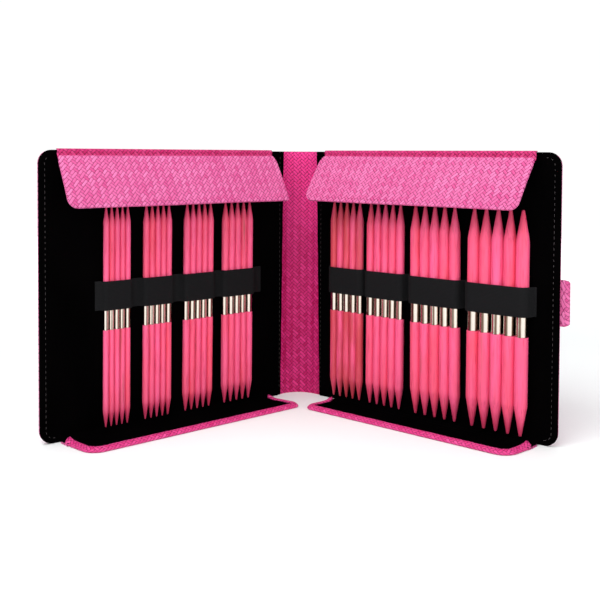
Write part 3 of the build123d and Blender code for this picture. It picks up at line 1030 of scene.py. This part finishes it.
def rim_section(curl, wander):
    """A bottom flap's padded rim, as (inwards from the flap's edge, height) in mm."""
    section = [
        (0.9, 0.1), (0.2, 0.35), (0.0, 0.9), (0.35, 1.5), (1.3, 2.3), (2.4, 3.0), (3.5, 3.4), (4.3, 3.25),
        (4.9, 2.6), (5.0, 1.7), (4.4, 0.9), (2.6, 0.1),
    ]
    return [(d + wander * max(d - 3.2, 0) / 1.8, h + 3.2 * curl * min(h / 1.6, 1.0)) for d, h in section]


def make_rim(flap):
    """The rim runs along the near end, the front edge and the far end, and curls up beside the crease."""
    side = flap.cover.side
    inset = 2.2
    near, far = flap.ends(1.0)
    corners = [
        (near + inset, 1.0, 0), (flap.free[0] + inset, flap.length - inset, 5.0),
        (flap.free[1] - inset, flap.length - inset, 9.5), (far - inset, 1.0, 0),
    ]
    line = rounded_outline(corners, 10)
    dense = []
    for (ua, sa), (ub, sb) in zip(line, line[1:]):
        count = max(1, round(math.hypot(ub - ua, sb - sa) / 2.0))
        dense += [(ua + (ub - ua) * k / count, sa + (sb - sa) * k / count) for k in range(count)]
    dense.append(line[-1])
    rows = []
    for k, (u, s) in enumerate(dense):
        before, after = dense[max(k - 1, 0)], dense[min(k + 1, len(dense) - 1)]
        du, ds = after[0] - before[0], after[1] - before[1]
        size = math.hypot(du, ds)
        inward = (ds / size, -du / size)
        curl = 0.7 * max(1 - s / 9.0, 0.0) ** 2
        wander = 0.4 * math.sin(k * 0.9) * math.sin(k * 0.37 + side) - 0.45 * (k % 23 == 7)
        ring = rim_section(curl, wander)
        ring.append(ring[0])
        rows.append([
            flap.at(u + inward[0] * (d - inset), s + inward[1] * (d - inset), flap.z0 - h) for d, h in ring])
    # The rim takes the deeper copy of the pink leatherette: painted shade
    rim = strip(f"{flap.name}_rim", rows, PAINTED_SHADE_RIM)
    bm = bmesh.new()
    bm.from_mesh(rim.data)
    bmesh.ops.remove_doubles(bm, verts=bm.verts, dist=1e-7)
    bmesh.ops.holes_fill(bm, edges=[edge for edge in bm.edges if edge.is_boundary], sides=0)
    bmesh.ops.recalc_face_normals(bm, faces=bm.faces[:])
    bm.to_mesh(rim.data)
    bm.free()
    ride(rim, flap.name)


def make_bottom_flap(flap):
    side, name = flap.cover.side, flap.name
    start = 1.5

    def border(inset, corner):
        near, far = flap.ends(start)
        corners = [
            (near + inset, start, 0.5), (flap.free[0] + inset, flap.length - inset, corner),
            (flap.free[1] - inset, flap.length - inset, corner + 4.5), (far - inset, start, 0.5),
        ]
        return rounded_outline([(side * u, s, radius) for u, s, radius in corners])

    leather = panel(
        f"{name}_leather", border(0.8, 6.2), flap.sheet(FLAP_OUTER - 0.05), PINK, flap.outward(),
        thickness=0.9, round_edges=0.3)
    ride(leather, flap.name, f"{name}_skin", f"{name}_board")

    def nap(x, y):
        return -0.12 * (1 + math.sin(x * 0.09) * math.sin(y * 0.2 + side))

    lining = panel(
        f"{name}_suede", border(4.0, 3.5), flap.sheet(-1.15), SUEDE, -flap.outward(),
        thickness=0.9, round_edges=0.3, grid=5.0, shape=nap)
    ride(lining, flap.name, f"{name}_lining")
    make_rim(flap)


def make_top_folds(cover, flap):
    """Roof and crease above the needles: leatherette outside, suede inside."""
    name = f"{cover.name}_top"
    n0, z0 = flap.n0, flap.z0
    ends, inside_ends = flap.crease, (flap.crease[0] + 1, flap.crease[1] - 1)
    crest, under = z0 + CREASE_R, z0 - CREASE_R
    half = (GUSSET_CREASE_N + n0) / 2
    gusset = f"{name}_gusset"
    bodies = (f"{cover.name}_cover", gusset)
    roof = smooth_path(
        [(0.0, z0 - 1.6), (0.35, z0 + 0.1), (1.5, crest - 0.1), (3.0, crest), (half, crest), (n0 - 0.7, crest)], 4)
    # The roof and the crease take the darker copy of the pink leatherette: painted shade
    fold_strip(
        f"{name}_roof_leather", cover, roof, (ends[0], ends[1] - 0.6), 0.8, PAINTED_SHADE_CREASE, UP + cover.n * -0.4,
        bodies, ((0.6, z0), (2.6, z0)), (gusset,), slant=4.6,
    )
    # Over the crease's roll, then down into the groove that the plate starts from
    lip = [(n0 - 1.1, crest - 0.35), (n0 - 0.6, crest - 0.04)]
    lip += [flap.section(s, o) for s, o in (
        (-0.2, 1.05), (1.3, 0.85), (2.3, 0.1), (3.1, -0.35), (4.3, -0.4), (5.6, -0.35))]
    fold_strip(
        f"{name}_crease_leather", cover, smooth_path(lip, 4), ends, 0.7, PAINTED_SHADE_CREASE, UP + cover.n,
        (flap.name,), slant=0.6,
    )
    inside = smooth_path(
        [(LINED_FACE - 0.1, z0 - 3.2), (LINED_FACE + 0.4, z0 - 1.6), (half - 0.2, under), (n0 - 1.0, under)], 4)
    fold_strip(
        f"{name}_roof_suede", cover, inside, inside_ends, 0.5, SUEDE, cover.n - UP,
        bodies, ((LINED_FACE, z0 - 2.5), (half, z0 - 0.9)),
    )
    hidden = [(n0 - 1.1, under - 0.1), (n0 - 0.7, under - 0.15)]
    hidden += [flap.section(s, o) for s, o in ((1.6, -1.5), (3.6, -1.55), (5.5, -1.45))]
    fold_strip(
        f"{name}_crease_suede", cover, smooth_path(hidden, 4), inside_ends, 0.4, SUEDE, cover.n * -1 - UP,
        (flap.name,),
    )


def make_bottom_folds(cover, flap):
    """Floor and crease under the needles."""
    name = f"{cover.name}_bottom"
    n0, z0 = flap.n0, flap.z0
    ends, inside_ends = flap.crease, (flap.crease[0] + 0.5, flap.crease[1] - 0.5)
    half = (GUSSET_CREASE_N + n0) / 2
    low, high = 0.05, 1.95  # faces of the folded sheet
    gusset = f"{name}_gusset"
    bodies, folding = (f"{cover.name}_cover", gusset), (gusset, flap.name)
    floor = smooth_path([(0.0, 2.2), (0.3, 0.9), (1.4, 0.1), (3.0, low), (half, low)], 4)
    fold_strip(
        f"{name}_floor_leather", cover, floor, ends, 0.8, PINK, -UP - cover.n * 0.4,
        bodies, ((0.6, z0), (2.8, z0)), (gusset,), slant=4.0,
    )
    inside = smooth_path(
        [(LINED_FACE - 0.1, 6.0), (LINED_FACE + 0.05, 4.2), (LINED_FACE + 0.9, 2.6), (half, high),
         (half + 0.1, high)], 4)
    fold_strip(
        f"{name}_floor_suede", cover, inside, inside_ends, 0.5, SUEDE, cover.n + UP,
        bodies, ((LINED_FACE, 4.0), (half, 1.9)),
    )
    lip = smooth_path([(half, low), (n0 - 1.0, low), (n0 + 1.5, low), (n0 + 4.5, 0.12)], 4)
    fold_strip(
        f"{name}_crease_leather", cover, lip, ends, 0.8, PINK, -UP,
        folding, ((n0 - 1.8, z0), (n0 + 1.8, z0)),
    )
    top = smooth_path([(half, high), (n0 - 1.6, high), (n0, 1.8), (n0 + 2.0, 2.0), (n0 + 5.0, 2.25)], 4)
    fold_strip(
        f"{name}_crease_suede", cover, top, inside_ends, 0.5, SUEDE, UP,
        folding, ((n0 - 1.8, z0), (n0 + 2.2, z0)),
    )


# ---------------------------------------------------------------- needles and elastic


def needle_places(diameter, middle):
    pitch = diameter + NEEDLE_GAP
    first = middle - (EACH - 1) / 2 * pitch
    return [first + k * pitch for k in range(EACH)]


def needle_profiles(diameter):
    """Profiles of a sleeve and a point, in metres from the needle's middle, the point upwards."""
    radius = diameter / 2
    half, sleeve = NEEDLE_LENGTH / 2, SLEEVE_LENGTH / 2
    tip_r = TIP_SHARE * diameter
    shoulder = half - TAPER_BASE - TAPER_GROWTH * diameter
    tip_centre = half - tip_r
    slope = math.asin((radius - tip_r) / (tip_centre - shoulder))
    point = [(radius * 0.8, sleeve), (radius - 0.12, sleeve), (radius - 0.03, sleeve + 0.1), (radius, sleeve + 0.3)]
    point += [(radius, z) for z in spread(sleeve + 2, shoulder - 3.0, 12)]
    soft = 1.2  # half the length over which the shoulder turns
    for k in range(7):
        t = k / 6
        z = shoulder - soft + 2 * soft * t
        point.append((radius - (radius - tip_r) / (tip_centre - shoulder) * soft * t * t, z))
    taper_top = tip_centre + tip_r * math.sin(slope)
    start_z, start_r = point[-1][1], point[-1][0]
    for t in spread(0.0, 1.0, 8)[1:]:
        point.append((start_r + (tip_r * math.cos(slope) - start_r) * t, start_z + (taper_top - start_z) * t))
    for angle in spread(math.degrees(slope), 90.0, 6)[1:]:
        turned = math.radians(angle)
        point.append((max(tip_r * math.cos(turned), 0.0), tip_centre + tip_r * math.sin(turned)))
    point[-1] = (0.0, half)
    r = radius * SLEEVE_SHARE
    inner = sleeve + 0.02
    tube = [(r * 0.75, -inner), (r - 0.1, -inner), (r, -sleeve + 0.15)]
    tube += [(r, z) for z in spread(-sleeve + 0.6, sleeve - 0.6, 10)]
    tube += [(r, sleeve - 0.15), (r - 0.1, inner), (r * 0.75, inner)]
    return [(a * MM, b * MM) for a, b in point], [(a * MM, b * MM) for a, b in tube]


def make_needles(cover):
    number = 0 if cover is LEFT else FIRST_RIGHT
    for diameter, middle in GROUPS[cover.name]:
        size = f"{diameter:.1f}".replace(".", "_")
        point, tube = needle_profiles(diameter)
        flipped = [(r, -z) for r, z in point]
        sets = {"upper_points": (point, WOOD), "lower_points": (flipped, WOOD), "sleeves": (tube, METAL)}
        for part, (profile, used) in sets.items():
            bm = bmesh.new()
            layer = bm.verts.layers.float.new("needle")
            for k, u in enumerate(needle_places(diameter, middle)):
                n = LINED_FACE + FIT_GAP + diameter / 2
                centre = cover.at(u, n, NEEDLE_MIDDLE)
                tag = number + k + (LOWER_POINT if part == "lower_points" else 0.0)
                lathe(bm, profile, centre, 40, layer, tag)
            for vert in bm.verts:
                vert.co += cover.u * (LEANS[diameter] * (vert.co.z - NEEDLE_MIDDLE * MM))
            bmesh.ops.recalc_face_normals(bm, faces=bm.faces[:])
            group = from_bmesh(f"needles_{size}_{part}", bm, used)
            ride(group, f"needles_{size}", f"needle_{size}_{part}")
        number += EACH


def elastic_path(cover):
    """Outer face of the band in (u, n): over each group of needles, and sewn flat to the lining beside it."""
    start, end = ELASTIC_ENDS[cover.name]
    low = LINED_FACE + ELASTIC_THICKNESS + 0.1
    groups = sorted(GROUPS[cover.name], key=lambda group: group[1])
    reaches = [(EACH - 1) / 2 * (diameter + NEEDLE_GAP) for diameter, _ in groups]
    edges = [start - 2.0]
    for (_, middle), reach, (_, following), after in zip(groups, reaches, groups[1:], reaches[1:]):
        edges.append((middle + reach + following - after) / 2)
    edges.append(end + 2.0)
    path = [(start, low)]
    for k, ((diameter, middle), reach) in enumerate(zip(groups, reaches)):
        first, last = middle - reach, middle + reach
        centre_n = LINED_FACE + FIT_GAP + diameter / 2
        radius = diameter / 2 + FIT_GAP + ELASTIC_THICKNESS
        contacts = []
        seams = [max(first - radius - 1.0, edges[k] + 0.5), min(last + radius + 1.0, edges[k + 1] - 0.5)]
        for beside in (first - seams[0], seams[1] - last):
            away = math.hypot(beside, centre_n - low)
            contacts.append(math.degrees(math.acos(min(radius / away, 1.0)) - math.atan2(centre_n - low, beside)))
        path.append((seams[0], low))
        path += arc(first, centre_n, radius, 180 - contacts[0], 90, 8)
        path += [(u, centre_n + radius) for u in spread(first, last, 16)[1:-1]]
        path += arc(last, centre_n, radius, 90, contacts[1], 8)
        path.append((seams[1], low))
    path.append((end, low))
    return path


def make_elastic(cover):
    path = elastic_path(cover)
    zs = spread(ELASTIC_MIDDLE - ELASTIC_HEIGHT / 2, ELASTIC_MIDDLE + ELASTIC_HEIGHT / 2, 10)
    rows = [[cover.at(u, n, z) for u, n in path] for z in zs]
    band = strip(f"{cover.name}_elastic", rows, ELASTIC)
    face_towards(band, cover.n)
    thicken(band, ELASTIC_THICKNESS, round_edges=0.25)
    ride(band, f"{cover.name}_cover", f"{cover.name}_elastic_band")


# ---------------------------------------------------------------- strap


def strap_section(name, path, bodies, start, end, replaced, thickness, corner=None, pinch=0.0):
    """One length of strap along a path of (u, n). corner says which end is rounded: "first" or "last"."""
    low, high = STRAP_MIDDLE_Z - STRAP_HEIGHT / 2, STRAP_MIDDLE_Z + STRAP_HEIGHT / 2
    lengths = distances([Vector(place) for place in path])
    outermost = max(u for u, _ in path)
    rows = []
    for (u, n), s in zip(path, lengths):
        cut = pinch * max(1 - (outermost - u) / 2.2, 0.0) ** 2
        for which, left in (("first", s), ("last", lengths[-1] - s)):
            if which == corner and left < STRAP_CORNER:
                cut += STRAP_CORNER - math.sqrt(max(STRAP_CORNER**2 - (STRAP_CORNER - left) ** 2, 0.0))
        rows.append([RIGHT.at(u, n, z) for z in spread(low + cut, high - cut, 14)])
    sheet = strip(name, rows, PINK)
    thicken(sheet, thickness, offset=0.0, round_edges=0.45)
    bend(sheet, bodies, RIGHT.at(*start, STRAP_MIDDLE_Z), RIGHT.at(*end, STRAP_MIDDLE_Z), *replaced)


def arc_steps(first, last, at_end=False):
    """Places from first to last, close together within a rounded end."""
    direction = 1 if last > first else -1
    fine = [STRAP_CORNER * (1 - math.cos(math.pi / 2 * k / 8)) for k in range(9)]
    length = abs(last - first)
    steps = fine + [STRAP_CORNER + (length - STRAP_CORNER) * k / 12 for k in range(1, 13)]
    if at_end:
        steps = [length - s for s in reversed(steps)]
    return [first + direction * s for s in steps]


def make_strap():
    """Anchored behind the cover, out past the fore-edge, and folded back behind it."""
    places = []
    for joint in ("strap_root_fold", "strap_middle_fold", "strap_tip_fold"):
        offset = Vector(JOINTS[joint]["pos_m"]) - RIGHT.origin
        places.append((offset.dot(RIGHT.u) / MM, offset.dot(RIGHT.n) / MM))
    (u1, n1), (u2, n2), (u3, _) = places
    fold_r = n1 - n2
    n3 = n2 - fold_r
    anchor_n = BACK_FACE - STRAP_ANCHOR_THICKNESS / 2

    anchor = [(u, anchor_n) for u in arc_steps(COVER_WIDTH - STRAP_ANCHOR_LENGTH, COVER_WIDTH - 1.0)]
    anchor += [(COVER_WIDTH + 0.2, anchor_n - 0.08), (u1, n1), (u2 - 0.9, n1)]
    strap_section(
        "strap_anchor_and_root", anchor, ("right_cover", "strap_root"), (u1 - 1.0, n1), (u1 + 1.0, n1),
        ("strap_anchor", "strap_root"), thickness=1.3, corner="first",
    )
    fold = [(u2 - 1.2, n1)] + arc(u2, n2, fold_r, 90, -90, 12)
    fold += [(u, n3) for u in spread(u2, u2 - 9.0, 4)[1:]]
    strap_section(
        "strap_fold", fold, ("strap_root", "strap_middle"), (u2, n1), (u2, n3),
        ("strap_middle",), thickness=1.5, pinch=1.6,
    )
    tip = [(u, n3) for u in arc_steps(u2 - 9.0, u3 - STRAP_TIP_LENGTH, at_end=True)]
    strap_section(
        "strap_tip_leather", tip, ("strap_middle", "strap_tip"), (u3 + 1.5, n3), (u3 - 1.5, n3),
        ("strap_tip", "strap_tip_lining", "strap_magnet"), thickness=1.2, corner="last",
    )


# ---------------------------------------------------------------- stage, lights and camera


def make_stage():
    mesh = bpy.data.meshes.new("floor")
    half = 1.4  # metres from the middle to each side
    mesh.from_pydata([(-half, -half, 0), (half, -half, 0), (half, half, 0), (-half, half, 0)], [], [(0, 1, 2, 3)])
    floor = bpy.data.objects.new("floor", mesh)
    bpy.context.scene.collection.objects.link(floor)
    made, nodes = material("white_floor", Roughness=0.7, Specular_IOR_Level=0.1, Emission_Color=(1, 1, 1, 1))
    speckle = nodes.noise(nodes.place(), 400.0)
    nodes.shade(Base_Color=nodes.mix(speckle, (0.875, 0.90, 0.90), (0.895, 0.92, 0.92)))
    away = nodes.add("ShaderNodeVectorMath", operation="LENGTH")
    nodes.feed(away.inputs[0], nodes.place())
    glow = nodes.choose(nodes.ramp(away.outputs["Value"], 0.25, 1.1), FLOOR_GLOW, 0.8)
    nodes.shade(Emission_Strength=glow)
    mesh.materials.append(made)
    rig.stage(floor)

    # Bright round the horizon and dimmer overhead, like a room with white walls
    world = bpy.data.worlds.new("studio")
    world.use_nodes = True
    nodes = Nodes(world.node_tree)
    _, _, up = nodes.split(nodes.add("ShaderNodeTexCoord").outputs["Generated"])
    overhead = nodes.ramp(up, 0.18, 0.55)
    background = world.node_tree.nodes["Background"]
    background.inputs[0].default_value = (1, 1, 1, 1)
    nodes.feed(background.inputs[1], nodes.choose(overhead, 1.02, OVERHEAD))
    bpy.context.scene.world = world


def area_light(name, where, target, size, power):
    light = bpy.data.lights.new(name, "AREA")
    light.shape = "RECTANGLE"
    light.size, light.size_y = size
    light.energy = power
    lamp = bpy.data.objects.new(name, light)
    lamp.location = where
    lamp.rotation_euler = (Vector(target) - Vector(where)).to_track_quat("-Z", "Y").to_euler()
    bpy.context.scene.collection.objects.link(lamp)


def make_lights():
    middle = (0, -0.08, 0.09)
    area_light("key", (-0.35, -0.75, 1.15), middle, (0.9, 0.6), KEY_POWER)
    area_light("fill", (0.9, -0.9, 0.6), middle, (0.7, 0.7), FILL_POWER)
    area_light("top", (0.0, 0.1, 1.3), middle, (1.4, 1.0), TOP_POWER)


def make_camera():
    data = bpy.data.cameras.new("camera")
    data.lens = CAMERA_LENS
    data.sensor_width = 36.0
    data.shift_y = CAMERA_SHIFT
    camera = bpy.data.objects.new("camera", data)
    camera.location = CAMERA_PLACE
    camera.rotation_euler = (math.pi / 2 - CAMERA_PITCH, CAMERA_ROLL, 0)
    bpy.context.scene.collection.objects.link(camera)
    bpy.context.scene.camera = camera


bpy.context.scene.view_settings.view_transform = "Standard"
make_camera()
make_stage()
make_lights()
make_spine()
for one in COVERS:
    make_cover(one)
    top, bottom = FlapFrame(one, "top"), FlapFrame(one, "bottom")
    make_top_flap(top)
    make_bottom_flap(bottom)
    make_top_folds(one, top)
    make_bottom_folds(one, bottom)
    make_needles(one)
    make_elastic(one)
make_strap()

sizes = {"cad": [list(corner) for corner in cad_box], "visual": [list(corner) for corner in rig.bounds()]}
json.dump(sizes, open("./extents.json", "w"))
